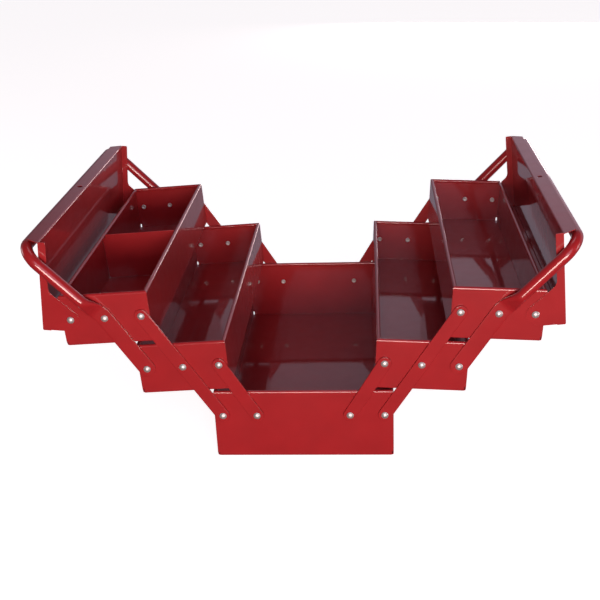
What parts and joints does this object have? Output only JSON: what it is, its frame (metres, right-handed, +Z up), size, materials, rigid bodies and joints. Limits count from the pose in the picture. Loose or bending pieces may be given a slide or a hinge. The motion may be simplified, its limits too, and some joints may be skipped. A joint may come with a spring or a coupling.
{
  "type": "cantilever toolbox",
  "caption": "Red enamelled sheet-steel cantilever toolbox: base box, folding side trays on riveted links, hinged lids and tubular bail handles.",
  "frame": {"origin": "centre of the base box's underside", "axes": "+X across the box towards the right-hand trays, +Y along the box away from the front end, +Z up"},
  "size_m": [0.5872, 0.4138, 0.2647],
  "materials": {
    "red_enamel": "glossy",
    "plated_steel": "polished"
  },
  "bodies": {
    "base": {"base_body": "red_enamel", "base_end_front": "red_enamel", "base_end_rear": "red_enamel", "base_rivets": "plated_steel"},
    "left_long_links": {"long_link_left_front": "red_enamel", "long_link_left_rear": "red_enamel"},
    "left_short_links": {"short_link_left_front": "red_enamel", "short_link_left_rear": "red_enamel"},
    "left_mid_tray": {"mid_left_body": "red_enamel", "mid_left_end_front": "red_enamel", "mid_left_end_rear": "red_enamel", "mid_left_rivets": "plated_steel"},
    "left_top_tray": {"top_left_body": "red_enamel", "top_left_end_front": "red_enamel", "top_left_end_rear": "red_enamel", "top_left_rivets": "plated_steel", "top_left_divider": "red_enamel"},
    "left_handle": {"handle_left": "red_enamel"},
    "left_lid": {"lid_left": "red_enamel"},
    "right_long_links": {"long_link_right_front": "red_enamel", "long_link_right_rear": "red_enamel"},
    "right_short_links": {"short_link_right_front": "red_enamel", "short_link_right_rear": "red_enamel"},
    "right_mid_tray": {"mid_right_body": "red_enamel", "mid_right_end_front": "red_enamel", "mid_right_end_rear": "red_enamel", "mid_right_rivets": "plated_steel"},
    "right_top_tray": {"top_right_body": "red_enamel", "top_right_end_front": "red_enamel", "top_right_end_rear": "red_enamel", "top_right_rivets": "plated_steel"},
    "right_handle": {"handle_right": "red_enamel"},
    "right_lid": {"lid_right": "red_enamel"}
  },
  "joints": [
    {"name": "left_fold", "type": "hinge", "parent": "base", "child": "left_long_links", "pos_m": [-0.09025, 0, 0.0534], "axis": [0, 1, 0], "range_deg": [0, 65.66]},
    {"name": "left_short_link_pivot", "type": "hinge", "parent": "base", "child": "left_short_links", "pos_m": [-0.05193, 0, 0.0534], "axis": [0, 1, 0], "range_deg": [0, 64.83]},
    {"name": "left_mid_tray_pivot", "type": "hinge", "parent": "left_long_links", "child": "left_mid_tray", "pos_m": [-0.13025, 0, 0.1154], "axis": [0, 1, 0], "range_deg": [-62.67, 0]},
    {"name": "left_top_tray_pivot", "type": "hinge", "parent": "left_long_links", "child": "left_top_tray", "pos_m": [-0.17025, 0, 0.1774], "axis": [0, 1, 0], "range_deg": [-62.67, 0]},
    {"name": "left_handle_pivot", "type": "hinge", "parent": "left_top_tray", "child": "left_handle", "pos_m": [-0.21019, 0, 0.17531], "axis": [0, 1, 0], "range_deg": [0, 62.67]},
    {"name": "left_lid_hinge", "type": "hinge", "parent": "left_top_tray", "child": "left_lid", "pos_m": [-0.24814, 0, 0.17332], "axis": [0, 1, 0], "range_deg": [0, 82.01]},
    {"name": "right_fold", "type": "hinge", "parent": "base", "child": "right_long_links", "pos_m": [0.09025, 0, 0.0534], "axis": [0, -1, 0], "range_deg": [0, 65.66]},
    {"name": "right_short_link_pivot", "type": "hinge", "parent": "base", "child": "right_short_links", "pos_m": [0.05193, 0, 0.0534], "axis": [0, -1, 0], "range_deg": [0, 64.83]},
    {"name": "right_mid_tray_pivot", "type": "hinge", "parent": "right_long_links", "child": "right_mid_tray", "pos_m": [0.13025, 0, 0.1154], "axis": [0, -1, 0], "range_deg": [-62.67, 0]},
    {"name": "right_top_tray_pivot", "type": "hinge", "parent": "right_long_links", "child": "right_top_tray", "pos_m": [0.17025, 0, 0.1774], "axis": [0, -1, 0], "range_deg": [-62.67, 0]},
    {"name": "right_handle_pivot", "type": "hinge", "parent": "right_top_tray", "child": "right_handle", "pos_m": [0.21019, 0, 0.17531], "axis": [0, -1, 0], "range_deg": [0, 62.67]},
    {"name": "right_lid_hinge", "type": "hinge", "parent": "right_top_tray", "child": "right_lid", "pos_m": [0.24814, 0, 0.17332], "axis": [0, -1, 0], "range_deg": [0, 82.01]}
  ],
  "couplings": [
    {"joint": "left_short_link_pivot", "follows": "left_fold", "ratio": 0.98728},
    {"joint": "left_mid_tray_pivot", "follows": "left_fold", "ratio": -0.95431},
    {"joint": "left_top_tray_pivot", "follows": "left_fold", "ratio": -0.95431},
    {"joint": "left_handle_pivot", "follows": "left_fold", "ratio": 0.95431},
    {"joint": "left_lid_hinge", "follows": "left_fold", "ratio": 1.2489},
    {"joint": "right_short_link_pivot", "follows": "right_fold", "ratio": 0.98728},
    {"joint": "right_mid_tray_pivot", "follows": "right_fold", "ratio": -0.95431},
    {"joint": "right_top_tray_pivot", "follows": "right_fold", "ratio": -0.95431},
    {"joint": "right_handle_pivot", "follows": "right_fold", "ratio": 0.95431},
    {"joint": "right_lid_hinge", "follows": "right_fold", "ratio": 1.2489}
  ]
}
